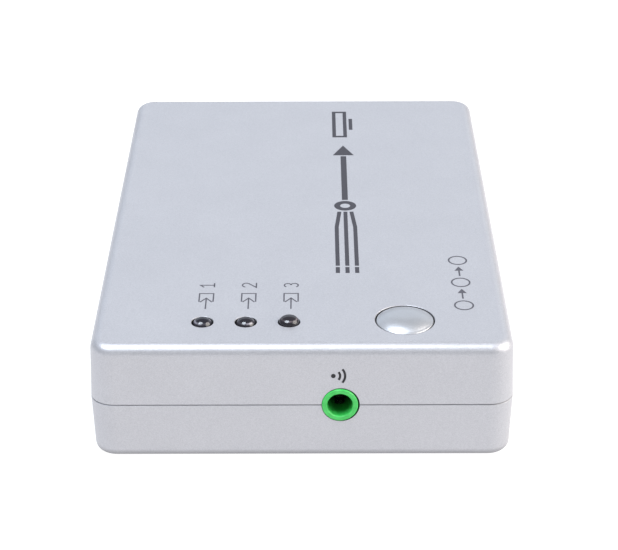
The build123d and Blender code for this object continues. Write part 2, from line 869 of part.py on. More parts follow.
switch_chip_place = board_place(switch_chip_place_shares)
switch_chip = chip_body(switch_chip_place, switch_chip_width, switch_chip_width, switch_chip_height)
with BuildPart() as switch_chip_leads:
    for angle in (0, 90, 180, 270):
        edge = edge_plane(switch_chip_place, angle, switch_chip_width / 2)
        add(gull_wing_row(
            edge, switch_chip_height, switch_chip_pitch, switch_chip_side_leads, chip_lead_width
        ))

control_chip_place = board_place(control_chip_place_shares)
control_chip = chip_body(control_chip_place, control_chip_length, control_chip_width, control_chip_height)
with BuildPart() as control_chip_leads:
    for angle in (90, 270):
        edge = edge_plane(control_chip_place, angle, control_chip_width / 2)
        add(gull_wing_row(
            edge, control_chip_height, control_chip_pitch, control_chip_side_leads, 2 * chip_lead_width
        ))

regulator_place = board_place(regulator_place_shares)
regulator = chip_body(regulator_place, regulator_length, regulator_width, regulator_height)
with BuildPart() as regulator_leads:
    edge = edge_plane(regulator_place, 270, regulator_width / 2)
    add(gull_wing_row(
        edge, regulator_height, regulator_pitch, regulator_leads_count, regulator_lead_width
    ))
    edge = edge_plane(regulator_place, 90, regulator_width / 2)
    add(gull_wing_row(edge, regulator_height, 0, 1, regulator_tab_width))


# Electrolytic capacitors
can_places = [board_place(shares) for shares in can_place_shares]
with BuildPart() as capacitor_bases:
    for place in can_places:
        with BuildSketch(Plane.XY.offset(board_top)) as base:
            with Locations(place):
                Rectangle(can_base_width, can_base_width)
            chamfer(base.vertices().group_by(Axis.X)[-1], can_base_chamfer)
        extrude(amount=can_base_height)

with BuildPart() as capacitor_cans:
    for place in can_places:
        base = (*place, board_top + can_base_height)
        crimp = can_crimp_height + can_crimp_width / 2
        with BuildSketch(Plane(origin=base, x_dir=(1, 0, 0), z_dir=(0, -1, 0))):
            with BuildLine():
                Polyline(
                    (0, can_height), (0, 0), (can_radius, 0), (can_radius, can_crimp_height),
                    (can_radius - can_crimp_depth, crimp), (can_radius, can_crimp_height + can_crimp_width),
                    (can_radius, can_height - can_edge), (can_radius - can_edge, can_height), close=True,
                )
            make_face()
        revolve(axis=Axis(base, (0, 0, 1)))


# Crystal
with BuildPart() as crystal:
    crystal_place = board_place(crystal_place_shares)
    with BuildSketch(Plane.XY.offset(board_top)):
        with Locations(crystal_place):
            SlotOverall(crystal_length, crystal_width)
    extrude(amount=crystal_base_thickness)
    with BuildSketch(Plane.XY.offset(board_top + crystal_base_thickness)):
        with Locations(crystal_place):
            SlotOverall(crystal_length - 2 * crystal_base_margin, crystal_width - 2 * crystal_base_margin)
    extrude(amount=crystal_height - crystal_base_thickness)
    chamfer(crystal.faces().sort_by(Axis.Z)[-1].edges(), crystal_edge)


# Chip resistors and capacitors
with BuildPart() as chip_resistors:
    with BuildSketch(Plane.XY.offset(board_top)):
        for y in input_ys:
            with Locations((resistor_x_share * board_width / 2, y)):
                with GridLocations(0, resistor_pitch, 1, resistors_per_input):
                    Rectangle(chip_part_length, chip_part_width)
    extrude(amount=chip_part_height)

with BuildPart() as chip_capacitors:
    with BuildSketch(Plane.XY.offset(board_top)):
        with Locations(board_place(capacitor_place_shares)):
            with GridLocations(capacitor_pitch_x, capacitor_pitch_y, capacitor_columns, capacitor_rows):
                Rectangle(chip_part_length, chip_part_width)
    extrude(amount=chip_part_height)


# Circuit board, holed for the screws, the pegs and every soldered leg
def leg_hole(place, length, width):
    """A slot in the board round a leg of that size."""
    with Locations(place):
        Rectangle(length + 2 * tail_gap, width + 2 * tail_gap, mode=Mode.SUBTRACT)


with BuildPart() as main_board:
    with BuildSketch(Plane.XY.offset(board_underside)):
        RectangleRounded(board_width, board_length, board_corner)
        with GridLocations(2 * post_x, 2 * post_y, 2, 2):
            Circle(screw_radius + screw_hole_gap, mode=Mode.SUBTRACT)
        with Locations(*peg_places):
            Circle(peg_radius + peg_gap, mode=Mode.SUBTRACT)
        for front in socket_fronts.values():
            for depth in socket_leg_depths:
                for shift in (-(socket_width + socket_sheet) / 2, (socket_width + socket_sheet) / 2):
                    spot = front.origin - front.z_dir * depth + front.x_dir * shift
                    leg_hole((spot.X, spot.Y), socket_leg_width, socket_sheet)
        spot = power_front.origin - power_front.z_dir * (power_end + leaf_thickness / 2)
        leg_hole((spot.X, spot.Y), leaf_thickness, power_tab_width)
        spot = power_front.origin - power_front.z_dir * (
            power_spring_depth + leaf_length + leaf_thickness / 2)
        leg_hole((spot.X, spot.Y), leaf_thickness, leaf_width)
        for depth in jack_spring_depths:
            spot = jack_front.origin - jack_front.z_dir * (depth + leaf_length + leaf_thickness / 2)
            leg_hole((spot.X, spot.Y), leaf_width, leaf_thickness)
        for side in (-1, 1):
            for shift in (-terminal_spread / 2, terminal_spread / 2):
                leg_y = button_y + side * (switch_width / 2 + terminal_stand + terminal_thickness / 2)
                leg_hole((button_x + shift, leg_y), terminal_width, terminal_thickness)
        for x, y in led_places:
            for shift in (-lead_pitch / 2, lead_pitch / 2):
                leg_hole((x + shift, y), lead_width, lead_width)
    extrude(amount=board_thickness)


pieces = {
    "top_shell": top_shell,
    "bottom_shell": bottom_shell,
    "case_screws": case_screws,
    "main_board": main_board,
    **receptacles,
    "power_jack_housing": power_jack_housing,
    "power_jack_pin": power_jack_pin,
    "power_jack_spring": power_jack_spring,
    "ir_jack_body": ir_jack_body,
    "ir_jack_springs": ir_jack_springs,
    **lenses,
    "led_leads": led_leads,
    "select_button": select_button,
    "switch_base": switch_base,
    "switch_cover": switch_cover,
    "switch_plunger": switch_plunger,
    "switch_dome": switch_dome,
    "switch_terminals": switch_terminals,
    "switch_chip": switch_chip,
    "switch_chip_leads": switch_chip_leads,
    "control_chip": control_chip,
    "control_chip_leads": control_chip_leads,
    "regulator": regulator,
    "regulator_leads": regulator_leads,
    "capacitor_bases": capacitor_bases,
    "capacitor_cans": capacitor_cans,
    "crystal": crystal,
    "chip_resistors": chip_resistors,
    "chip_capacitors": chip_capacitors,
}
os.makedirs("parts", exist_ok=True)
for name, piece in pieces.items():
    save(piece, name)
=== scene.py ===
import json
import math

import bmesh
import bpy
from mathutils import Matrix, Vector


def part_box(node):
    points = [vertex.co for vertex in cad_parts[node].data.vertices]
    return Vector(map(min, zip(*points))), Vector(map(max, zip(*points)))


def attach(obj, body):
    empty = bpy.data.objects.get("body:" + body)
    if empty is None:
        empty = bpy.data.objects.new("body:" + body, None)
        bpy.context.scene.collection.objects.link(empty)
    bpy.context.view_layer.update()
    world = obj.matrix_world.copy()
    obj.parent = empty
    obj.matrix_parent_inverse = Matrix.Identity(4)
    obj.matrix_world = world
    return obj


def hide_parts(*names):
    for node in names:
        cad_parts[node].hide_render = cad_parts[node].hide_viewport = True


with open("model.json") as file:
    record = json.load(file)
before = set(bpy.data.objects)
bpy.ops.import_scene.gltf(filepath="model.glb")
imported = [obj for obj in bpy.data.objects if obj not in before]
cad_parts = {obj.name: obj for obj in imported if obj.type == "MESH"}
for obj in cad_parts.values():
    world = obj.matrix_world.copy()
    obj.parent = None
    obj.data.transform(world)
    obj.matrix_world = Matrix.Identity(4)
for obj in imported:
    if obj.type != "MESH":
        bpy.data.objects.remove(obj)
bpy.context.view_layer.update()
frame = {"nodes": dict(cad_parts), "record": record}
nodes = frame["nodes"]
mm = 0.001

# The case, as its solids have it
top_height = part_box("top_shell")[1].z
front_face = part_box("top_shell")[0].y
seam_height = 8.8 * mm
draft = math.radians(2)

# Camera: where it stands, how it is turned, and its lens on a 36 mm wide sensor
camera_place = (1.57 * mm, -280.1 * mm, 151.9 * mm)
camera_pitch = math.radians(27.55)
camera_yaw = math.radians(-0.125)
camera_roll = math.radians(0.19)
camera_lens = 113.5
sensor_width = 36.0

# Printed marks: their ink stands this far above the paint
ink_thickness = 0.02 * mm
arc_sides = 40


def centre_of(node):
    """The middle of a node's box."""
    low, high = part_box(node)
    return (low + high) / 2


# Node helpers
def add_node(tree, kind, **values):
    """A shader node with some of its inputs or properties set."""
    node = tree.nodes.new(kind)
    for key, value in values.items():
        if key in node.inputs:
            node.inputs[key].default_value = value
        else:
            setattr(node, key, value)
    return node


def object_place(tree, stretch=(1, 1, 1)):
    """The place on the object in metres, stretched along its axes."""
    coordinates = add_node(tree, "ShaderNodeTexCoord")
    mapping = add_node(tree, "ShaderNodeMapping")
    mapping.inputs["Scale"].default_value = stretch
    tree.links.new(coordinates.outputs["Object"], mapping.inputs["Vector"])
    return mapping.outputs["Vector"]


def noise(tree, grain_size, detail=3.0, roughness=0.5, stretch=(1, 1, 1)):
    """Cloudy noise whose blotches have that size."""
    texture = add_node(tree, "ShaderNodeTexNoise", Scale=1 / grain_size, Detail=detail, Roughness=roughness)
    tree.links.new(object_place(tree, stretch), texture.inputs["Vector"])
    return texture.outputs["Fac"]


def cells(tree, cell_size):
    """One random value in each cell of that size."""
    texture = add_node(tree, "ShaderNodeTexVoronoi", Scale=1 / cell_size)
    tree.links.new(object_place(tree), texture.inputs["Vector"])
    split = add_node(tree, "ShaderNodeSeparateColor")
    tree.links.new(texture.outputs["Color"], split.inputs["Color"])
    return split.outputs["Red"]


def spread(tree, value, low, high, middle=0.5, width=0.3):
    """A value remapped so that its middle band spans low to high."""
    node = add_node(tree, "ShaderNodeMapRange")
    node.inputs["From Min"].default_value = middle - width / 2
    node.inputs["From Max"].default_value = middle + width / 2
    node.inputs["To Min"].default_value = low
    node.inputs["To Max"].default_value = high
    tree.links.new(value, node.inputs["Value"])
    return node.outputs["Result"]


def mixed(tree, value, first, second):
    """A colour between two colours, or between a socket and a colour."""
    node = add_node(tree, "ShaderNodeMix", data_type="RGBA")
    tree.links.new(value, node.inputs["Factor"])
    for socket, colour in ((node.inputs[6], first), (node.inputs[7], second)):
        if isinstance(colour, bpy.types.NodeSocket):
            tree.links.new(colour, socket)
        else:
            socket.default_value = (*colour, 1)
    return node.outputs[2]


def total(tree, first, second, share):
    """The first value plus a share of the second."""
    node = add_node(tree, "ShaderNodeMath", operation="MULTIPLY_ADD")
    tree.links.new(second, node.inputs[0])
    node.inputs[1].default_value = share
    tree.links.new(first, node.inputs[2])
    return node.outputs[0]


def position(tree, axis):
    """The place on the object along one axis, in metres."""
    split = add_node(tree, "ShaderNodeSeparateXYZ")
    tree.links.new(object_place(tree), split.inputs["Vector"])
    return split.outputs[axis]


def near(tree, value, target, reach):
    """1 where the value meets its target, falling to 0 at the reach on either side."""
    offset = add_node(tree, "ShaderNodeMath", operation="SUBTRACT")
    tree.links.new(value, offset.inputs[0])
    offset.inputs[1].default_value = target
    distance = add_node(tree, "ShaderNodeMath", operation="ABSOLUTE")
    tree.links.new(offset.outputs[0], distance.inputs[0])
    return spread(tree, distance.outputs[0], 1, 0, middle=reach / 2, width=reach)


def axis_distance(tree, centre):
    """The distance from the upright line through that point, in metres."""
    offset = add_node(tree, "ShaderNodeVectorMath", operation="SUBTRACT")
    tree.links.new(object_place(tree), offset.inputs[0])
    offset.inputs[1].default_value = centre
    level = add_node(tree, "ShaderNodeVectorMath", operation="MULTIPLY")
    tree.links.new(offset.outputs[0], level.inputs[0])
    level.inputs[1].default_value = (1, 1, 0)
    length = add_node(tree, "ShaderNodeVectorMath", operation="LENGTH")
    tree.links.new(level.outputs[0], length.inputs[0])
    return length.outputs["Value"]


def product(tree, first, second):
    """The first value times the second."""
    node = add_node(tree, "ShaderNodeMath", operation="MULTIPLY")
    tree.links.new(first, node.inputs[0])
    tree.links.new(second, node.inputs[1])
    return node.outputs[0]


def off_base(tree):
    """0 on faces that look straight down, 1 on those that lean outwards or up."""
    coordinates = add_node(tree, "ShaderNodeTexCoord")
    split = add_node(tree, "ShaderNodeSeparateXYZ")
    tree.links.new(coordinates.outputs["Normal"], split.inputs["Vector"])
    return spread(tree, split.outputs["Z"], 0, 1, middle=-0.9, width=0.15)


def relief(tree, shader, height, depth, strength=1.0):
    """Bumps of that depth, from a height between 0 and 1."""
    node = add_node(tree, "ShaderNodeBump", Distance=depth, Strength=strength)
    tree.links.new(height, node.inputs["Height"])
    tree.links.new(node.outputs["Normal"], shader.inputs["Normal"])


def new_material(name):
    """A material with its tree and its shader."""
    material = bpy.data.materials.new(name)
    material.use_nodes = True
    tree = material.node_tree
    return material, tree, tree.nodes["Principled BSDF"]


# Silver paint, and the painted shade laid into its gaps, along its seam and along its foot
flake_size = 0.09 * mm
flake_share = 0.7
peel_size = 0.55 * mm
peel_depth = 0.012 * mm
# Painted shade: the near-black colour laid where shade falls in the case's gaps, seam and foot
painted_shade_colour = (0.012, 0.012, 0.014)
seam_shade_reach, seam_shade_share = 0.16 * mm, 0.52
foot_shade_reach, foot_shade_share = 1.35 * mm, 0.62


def round_band(tree, node, radius, reach):
    """1 at that distance from a node's upright middle line, falling to 0 at the reach on either side."""
    return near(tree, axis_distance(tree, centre_of(node)), radius, reach)


def metallic_paint(name, dark, light, metal, roughness, gaps, case_shade=False):
    """Sprayed silver: flakes in a clear film over faint orange peel.

    Painted shade, dark and dull, lies in the round gaps, each given as its node, radius and reach, and on
    the case's seam and foot.
    """
    material, tree, shader = new_material(name)
    flakes = cells(tree, flake_size)
    clouds = noise(tree, 7 * mm, detail=4)
    peel = noise(tree, peel_size, detail=2)
    glitter = total(tree, spread(tree, flakes, 0.0, flake_share, width=1.0), clouds, 1 - flake_share)
    colour = mixed(tree, glitter, dark, light)
    # Painted shade in the round gaps about the button and the lamps
    painted_shade = round_band(tree, *gaps[0])
    for gap in gaps[1:]:
        painted_shade = total(tree, painted_shade, round_band(tree, *gap), 1)
    if case_shade:
        height = position(tree, "Z")
        # Painted shade: a dark line along the seam between the shells
        painted_shade = total(tree, painted_shade, near(tree, height, seam_height, seam_shade_reach), seam_shade_share)
        # Painted shade: a dark band along the foot of the case, on all but its underside
        foot = product(tree, near(tree, height, 0, foot_shade_reach), off_base(tree))
        painted_shade = total(tree, painted_shade, foot, foot_shade_share)
    # The painted shade darkens the colour, dulls the paint and takes its metal away
    tree.links.new(mixed(tree, painted_shade, colour, painted_shade_colour), shader.inputs["Base Color"])
    tree.links.new(spread(tree, painted_shade, metal, 0, width=1.0), shader.inputs["Metallic"])
    wear = total(tree, spread(tree, flakes, roughness, roughness + 0.08, width=1.0), clouds, 0.04)
    tree.links.new(total(tree, wear, painted_shade, 0.5), shader.inputs["Roughness"])
    relief(tree, shader, total(tree, peel, flakes, 0.12), peel_depth, 0.6)
    return material


# The other finishes


def moulded_plastic(name, dark, light, roughness, grain_size, depth):
    """Plastic as it leaves the mould: a fine spark-eroded grain and faint flow clouds."""
    material, tree, shader = new_material(name)
    clouds = noise(tree, 2.5 * mm, detail=3)
    fine = noise(tree, grain_size, detail=2, roughness=0.6)
    tree.links.new(mixed(tree, spread(tree, clouds, 0, 1), dark, light), shader.inputs["Base Color"])
    tree.links.new(spread(tree, fine, roughness - 0.05, roughness + 0.08), shader.inputs["Roughness"])
    relief(tree, shader, fine, depth)
    return material


bore_shade_depth = 3.1 * mm
bore_shade_width = 4.6 * mm


def jack_plastic(name):
    """Bright green plastic, with painted shade that darkens it the deeper its bore goes."""
    material, tree, shader = new_material(name)
    clouds = noise(tree, 1.2 * mm, detail=3)
    fine = noise(tree, 0.1 * mm, detail=2)
    green = mixed(tree, spread(tree, clouds, 0, 1), (0.036, 0.47, 0.078), (0.065, 0.57, 0.115))
    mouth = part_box("ir_jack_body")[0].y
    middle = mouth + bore_shade_depth
    depth = spread(tree, position(tree, "Y"), 0, 1, middle=middle, width=bore_shade_width)
    # Painted shade: the bore's green turns near-black with depth
    tree.links.new(mixed(tree, depth, green, (0.012, 0.030, 0.020)), shader.inputs["Base Color"])
    tree.links.new(spread(tree, fine, 0.30, 0.44), shader.inputs["Roughness"])
    relief(tree, shader, fine, 0.006 * mm)
    return material


def plated_metal(name, dark, light, roughness, brush=(1, 1, 1)):
    """Rolled or plated sheet: draw lines along one way and a cloudy tarnish."""
    material, tree, shader = new_material(name)
    clouds = noise(tree, 1.6 * mm, detail=4)
    lines = noise(tree, 0.12 * mm, detail=2, stretch=brush)
    tree.links.new(mixed(tree, spread(tree, clouds, 0, 1), dark, light), shader.inputs["Base Color"])
    shader.inputs["Metallic"].default_value = 1.0
    tree.links.new(spread(tree, lines, roughness - 0.06, roughness + 0.1), shader.inputs["Roughness"])
    relief(tree, shader, lines, 0.004 * mm)
    return material


track_length = 3.1 * mm
track_pitch = 0.9 * mm
track_width = 0.14 * mm
track_thickness = 0.03 * mm


def printed_board(name):
    """Green solder mask over copper tracks, with a faint glass weave."""
    material, tree, shader = new_material(name)
    tracks = add_node(tree, "ShaderNodeTexBrick", Scale=1.0)
    tracks.inputs["Brick Width"].default_value = track_length
    tracks.inputs["Row Height"].default_value = track_pitch
    tracks.inputs["Mortar Size"].default_value = track_width
    tree.links.new(object_place(tree), tracks.inputs["Vector"])
    weave = noise(tree, 0.4 * mm, detail=2, stretch=(3, 0.5, 1))
    mask = mixed(tree, spread(tree, weave, 0, 1), (0.006, 0.075, 0.028), (0.010, 0.100, 0.038))
    colour = mixed(tree, tracks.outputs["Fac"], mask, (0.030, 0.190, 0.070))
    tree.links.new(colour, shader.inputs["Base Color"])
    tree.links.new(spread(tree, weave, 0.28, 0.38), shader.inputs["Roughness"])
    relief(tree, shader, tracks.outputs["Fac"], track_thickness)
    return material


# Painted light: a pale ring on each lens, this far from its middle line and this wide
painted_light_ring_radius = 1.10 * mm
painted_light_ring_reach = 0.16 * mm


def cast_resin(name, dark, light, node="led_1"):
    """Smoky epoxy over a dark core, with a painted broken ring of light where its skin turns down into the
    hole.
    """
    material, tree, shader = new_material(name)
    swirls = noise(tree, 0.8 * mm, detail=2)
    patches = spread(tree, noise(tree, 1.3 * mm, detail=1), 0.15, 1, width=0.2)
    painted_light_share = round_band(tree, node, painted_light_ring_radius, painted_light_ring_reach)
    tree.links.new(mixed(tree, product(tree, painted_light_share, patches), dark, light), shader.inputs["Base Color"])
    tree.links.new(spread(tree, swirls, 0.12, 0.16), shader.inputs["Roughness"])
    shader.inputs["Transmission Weight"].default_value = 0.15
    shader.inputs["IOR"].default_value = 1.56
    relief(tree, shader, swirls, 0.001 * mm)
    return material


def screen_ink(name, dark, light):
    """Screen-printed ink, a little uneven where the mesh laid it."""
    material, tree, shader = new_material(name)
    mesh = noise(tree, 0.11 * mm, detail=2)
    tree.links.new(mixed(tree, spread(tree, mesh, 0, 1), dark, light), shader.inputs["Base Color"])
    tree.links.new(spread(tree, mesh, 0.45, 0.62), shader.inputs["Roughness"])
    relief(tree, shader, mesh, 0.003 * mm)
    return material


button_hole_radius = 4.25 * mm
lamp_hole_radius = 1.55 * mm
button_radius = 4.08 * mm
# Painted shade bands: just outside the button's rim on the cap, and this far across each gap
button_shade_offset = 0.04 * mm
button_gap_reach = 0.07 * mm
lamp_gap_reach = 0.09 * mm
lamps = ("led_1", "led_2", "led_3")
case_gaps = [("select_button", button_hole_radius, button_gap_reach)]
case_gaps += [(node, lamp_hole_radius, lamp_gap_reach) for node in lamps]
button_gaps = [("select_button", button_radius + button_shade_offset, button_gap_reach)]

finishes = {
    "case_paint": metallic_paint(
        "case_paint_look", (0.42, 0.415, 0.445), (0.55, 0.545, 0.575), 0.55, 0.37, case_gaps, True),
    "button_paint": metallic_paint(
        "button_paint_look", (0.52, 0.525, 0.555), (0.60, 0.605, 0.635), 0.8, 0.32, button_gaps),
    "screw_steel": plated_metal("screw_steel_look", (0.52, 0.53, 0.56), (0.66, 0.66, 0.68), 0.30),
    "board_laminate": printed_board("board_laminate_look"),
    "socket_steel": plated_metal(
        "socket_steel_look", (0.55, 0.55, 0.56), (0.70, 0.69, 0.68), 0.24, (4, 1, 1)),
    "socket_black": moulded_plastic(
        "socket_black_look", (0.010, 0.010, 0.011), (0.020, 0.020, 0.022), 0.42, 0.08 * mm, 0.006 * mm),
    "contact_gold": plated_metal("contact_gold_look", (0.78, 0.50, 0.16), (0.92, 0.66, 0.26), 0.22),
    "jack_green": jack_plastic("jack_green_look"),
    "jack_black": moulded_plastic(
        "jack_black_look", (0.010, 0.010, 0.011), (0.022, 0.022, 0.024), 0.38, 0.08 * mm, 0.006 * mm),
    "spring_metal": plated_metal("spring_metal_look", (0.60, 0.57, 0.50), (0.76, 0.73, 0.66), 0.25),
    "pin_metal": plated_metal("pin_metal_look", (0.66, 0.65, 0.62), (0.82, 0.81, 0.78), 0.20),
    "lamp_lens": cast_resin("lamp_lens_look", (0.016, 0.015, 0.019), (0.30, 0.29, 0.32)),
    "lead_tin": plated_metal("lead_tin_look", (0.58, 0.58, 0.58), (0.74, 0.74, 0.73), 0.32),
    "switch_black": moulded_plastic(
        "switch_black_look", (0.009, 0.009, 0.010), (0.018, 0.018, 0.020), 0.45, 0.09 * mm, 0.006 * mm),
    "chip_black": moulded_plastic(
        "chip_black_look", (0.014, 0.014, 0.015), (0.026, 0.026, 0.028), 0.55, 0.06 * mm, 0.008 * mm),
    "can_metal": plated_metal("can_metal_look", (0.60, 0.60, 0.61), (0.74, 0.74, 0.75), 0.28),
    "crystal_metal": plated_metal("crystal_metal_look", (0.58, 0.57, 0.55), (0.72, 0.71, 0.69), 0.26),
    "resistor_black": moulded_plastic(
        "resistor_black_look", (0.012, 0.012, 0.014), (0.028, 0.028, 0.032), 0.35, 0.05 * mm, 0.004 * mm),
    "capacitor_tan": moulded_plastic(
        "capacitor_tan_look", (0.36, 0.25, 0.15), (0.46, 0.33, 0.21), 0.40, 0.05 * mm, 0.004 * mm),
}
# Each lens's light colour is its painted ring of light
lens_looks = {
    "led_1": cast_resin("led_1_look", (0.015, 0.014, 0.021), (0.31, 0.29, 0.34), "led_1"),
    "led_2": cast_resin("led_2_look", (0.017, 0.015, 0.021), (0.30, 0.28, 0.32), "led_2"),
    "led_3": cast_resin("led_3_look", (0.020, 0.017, 0.022), (0.36, 0.29, 0.31), "led_3"),
}
bold_ink = screen_ink("bold_ink_look", (0.028, 0.026, 0.034), (0.046, 0.043, 0.054))
fine_ink = screen_ink("fine_ink_look", (0.050, 0.048, 0.060), (0.080, 0.076, 0.092))
dark_ink = screen_ink("dark_ink_look", (0.006, 0.005, 0.008), (0.012, 0.010, 0.015))

for part in frame["record"]["subparts"]:
    node = nodes[part["node"]]
    for place in node.material_slots:
        place.material = finishes[part["material_slot"]]


# New pieces
def new_piece(name, builder, material, body="case"):
    """A mesh piece made by that builder function, riding on its body."""
    shape = bmesh.new()
    builder(shape)
    bmesh.ops.remove_doubles(shape, verts=shape.verts, dist=0.0001 * mm)
    bmesh.ops.recalc_face_normals(shape, faces=shape.faces)
    mesh = bpy.data.meshes.new(name)
    shape.to_mesh(mesh)
    shape.free()
    piece = bpy.data.objects.new(name, mesh)
    bpy.context.scene.collection.objects.link(piece)
    mesh.materials.append(material)
    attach(piece, body)
    return piece


def smooth(piece, angle=35):
    """Smooth shading, with edges sharper than the angle kept."""
    piece.data.shade_smooth()
    piece.data.set_sharp_from_angle(angle=math.radians(angle))


def turned(shape, outline, centre, sides=64):
    """A closed body turned about the upright line through centre, from (radius, height) points."""
    rings = []
    for radius, height in outline:
        if radius < 1e-9:
            rings.append([shape.verts.new((centre.x, centre.y, height))] * sides)
            continue
        turn = [2 * math.pi * i / sides for i in range(sides)]
        rings.append([
            shape.verts.new((centre.x + radius * math.cos(a), centre.y + radius * math.sin(a), height))
            for a in turn
        ])
    for lower, upper in zip(rings, rings[1:]):
        for i in range(sides):
            j = (i + 1) % sides
            corners = list(dict.fromkeys((lower[i], lower[j], upper[j], upper[i])))
            if len(corners) > 2:
                shape.faces.new(corners)


def arc(centre, radius, start, end, steps):
    """Points along an arc, its angles in degrees."""
    return [
        (centre[0] + radius * math.cos(math.radians(start + (end - start) * i / steps)),
         centre[1] + radius * math.sin(math.radians(start + (end - start) * i / steps)))
        for i in range(steps + 1)
    ]


# Lamps: a clear lens over its lead frame
lens_radius = 1.45 * mm
lens_edge = 0.12 * mm
lens_sink = 0.14 * mm
dome_heights = {"led_1": 1.2 * mm, "led_2": 1.2 * mm, "led_3": 0.95 * mm}
dome_fullness = 0.96
flange_height = 1.0 * mm


def lens_piece(node):
    """The lens, a round dome on a rod with a flange, where its solid stands."""
    low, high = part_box(node)
    centre = (low + high) / 2
    flange = (high.x - low.x) / 2
    crown = high.z - lens_sink
    rise = dome_heights[node]
    quarter = [(u ** dome_fullness, v ** dome_fullness) for u, v in arc((0, 0), 1, 0, 90, 20)[:-1]]
    outline = [(0, low.z), (flange - lens_edge, low.z), (flange, low.z + lens_edge)]
    outline += [(flange, low.z + flange_height - lens_edge), (flange - lens_edge, low.z + flange_height)]
    outline += [(lens_radius + lens_edge, low.z + flange_height)]
    outline += [(lens_radius, low.z + flange_height + lens_edge)]
    outline += [(lens_radius * u, crown - rise + rise * v) for u, v in quarter] + [(0, crown)]
    piece = new_piece(
        f"{node}_lens", lambda shape: turned(shape, outline, centre), lens_looks[node])
    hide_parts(node)
    smooth(piece, 50)


def block(shape, low, high, edge):
    """A box with eased edges."""
    made = bmesh.ops.create_cube(shape, size=1)
    low, high = Vector(low), Vector(high)
    size, middle = high - low, (low + high) / 2
    for vert in made["verts"]:
        vert.co = Vector(c * s for c, s in zip(vert.co, size)) + middle
    edges = list(dict.fromkeys(e for v in made["verts"] for e in v.link_edges))
    bmesh.ops.bevel(shape, geom=edges, offset=edge, segments=2, profile=0.5, affect="EDGES")


post_foot = 0.1 * mm
post_edge = 0.05 * mm
post_width = 0.46 * mm
post_pitch = 1.1 * mm
cup_radius = 0.62 * mm
cup_depth = 0.4 * mm
cup_wall = 0.1 * mm
cup_shift = 0.15 * mm
cup_drop = 1.7 * mm
bond_post_drop = 0.15 * mm


def lead_frame_piece(node):
    """Two posts inside the lens, one with a cup that holds the die."""
    low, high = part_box(node)
    centre = (low + high) / 2
    cup_top = high.z - cup_drop

    def build(shape):
        half = post_width / 2
        for side, top in ((-1, cup_top - cup_depth), (1, cup_top - bond_post_drop)):
            x = centre.x + side * post_pitch / 2
            foot = (x - half, centre.y - half, low.z + post_foot)
            block(shape, foot, (x + half, centre.y + half, top), post_edge)
        cup = Vector((centre.x - post_pitch / 2 + cup_shift, centre.y, 0))
        cup_floor = cup_top - 0.75 * cup_depth
        outline = [(0, cup_top - cup_depth), (0.42 * cup_radius, cup_top - cup_depth), (cup_radius, cup_top),
                   (cup_radius - cup_wall, cup_top), (0.3 * cup_radius, cup_floor), (0, cup_floor)]
        turned(shape, outline, cup, 32)

    piece = new_piece(f"{node}_lead_frame", build, finishes["lead_tin"])
    smooth(piece)


for node in lamps:
    lens_piece(node)
    lead_frame_piece(node)


# Push button: the solid's hollow cap and flange, with a crown that rolls over towards its rim
stem_radius = 2.0 * mm
hollow_radius = 2.92 * mm
hollow_top = 16.7 * mm
flange_top = 15.95 * mm
flange_bottom = 14.95 * mm
button_lift = 0.32 * mm
button_rise = 0.84 * mm
button_roll = 3.0
button_edge = 0.2 * mm
crown_steps = 20


def button_piece():
    """The cap, hollow round its stem, with a flange under the shell and a low crown."""
    low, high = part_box("select_button")
    flange = (high.x - low.x) / 2
    outline = [(0, low.z), (stem_radius, low.z), (stem_radius, hollow_top), (hollow_radius, hollow_top)]
    outline += [(hollow_radius, flange_bottom), (flange, flange_bottom), (flange, flange_top)]
    outline += [(button_radius, flange_top)]
    crown = high.z + button_lift
    rim = crown - button_rise
    outline += arc((button_radius - button_edge, rim - button_edge), button_edge, 0, 60, 4)
    edge = button_radius - button_edge
    for i in range(crown_steps, -1, -1):
        share = i / crown_steps
        outline.append((share * edge, crown - button_rise * share ** button_roll))
    piece = new_piece(
        "button_cap", lambda shape: turned(shape, outline, (low + high) / 2, 96), finishes["button_paint"],
        body="button")
    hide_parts("select_button")
    smooth(piece, 40)


button_piece()


# Printed marks, drawn in their own plane: u runs along the reading line and v towards a letter's top
def prism(shape, outline, place):
    """A thin solid over an outline, its points laid down by the place function."""
    low = [shape.verts.new(place(u, v, 0)) for u, v in outline]
    high = [shape.verts.new(place(u, v, ink_thickness)) for u, v in outline]
    shape.faces.new(low)
    shape.faces.new(high)
    for i in range(len(outline)):
        j = (i + 1) % len(outline)
        shape.faces.new((low[i], low[j], high[j], high[i]))


def ribbon(shape, path, width, place):
    """A stroke of even width with mitred bends along a path."""
    sides = ([], [])
    for i, point in enumerate(path):
        point = Vector(point)
        back = (point - Vector(path[i - 1])).normalized() if i else None
        ahead = (Vector(path[i + 1]) - point).normalized() if i + 1 < len(path) else None
        back, ahead = back or ahead, ahead or back
        across = Vector((-back.y - ahead.y, back.x + ahead.x)).normalized()
        reach = width / 2 / max(0.2, across.dot(Vector((-back.y, back.x))))
        sides[0].append(point + across * reach)
        sides[1].append(point - across * reach)
    prism(shape, [tuple(p) for p in sides[0] + sides[1][::-1]], place)


def ring(shape, centre, radius, width, place):
    """A round stroke."""
    loops = []
    for lift in (0, ink_thickness):
        for reach in (radius - width / 2, radius + width / 2):
            points = arc(centre, reach, 0, 360, arc_sides)[:-1]
            loops.append([shape.verts.new(place(u, v, lift)) for u, v in points])
    for a, b in ((0, 1), (2, 3), (0, 2), (1, 3)):
        for i in range(arc_sides):
            j = (i + 1) % arc_sides
            shape.faces.new((loops[a][i], loops[a][j], loops[b][j], loops[b][i]))


def on_top(x, y):
    """A mark read from the output side, so u runs along +Y and v towards -X."""
    return lambda u, v, lift: (x - v, y + u, top_height + lift)


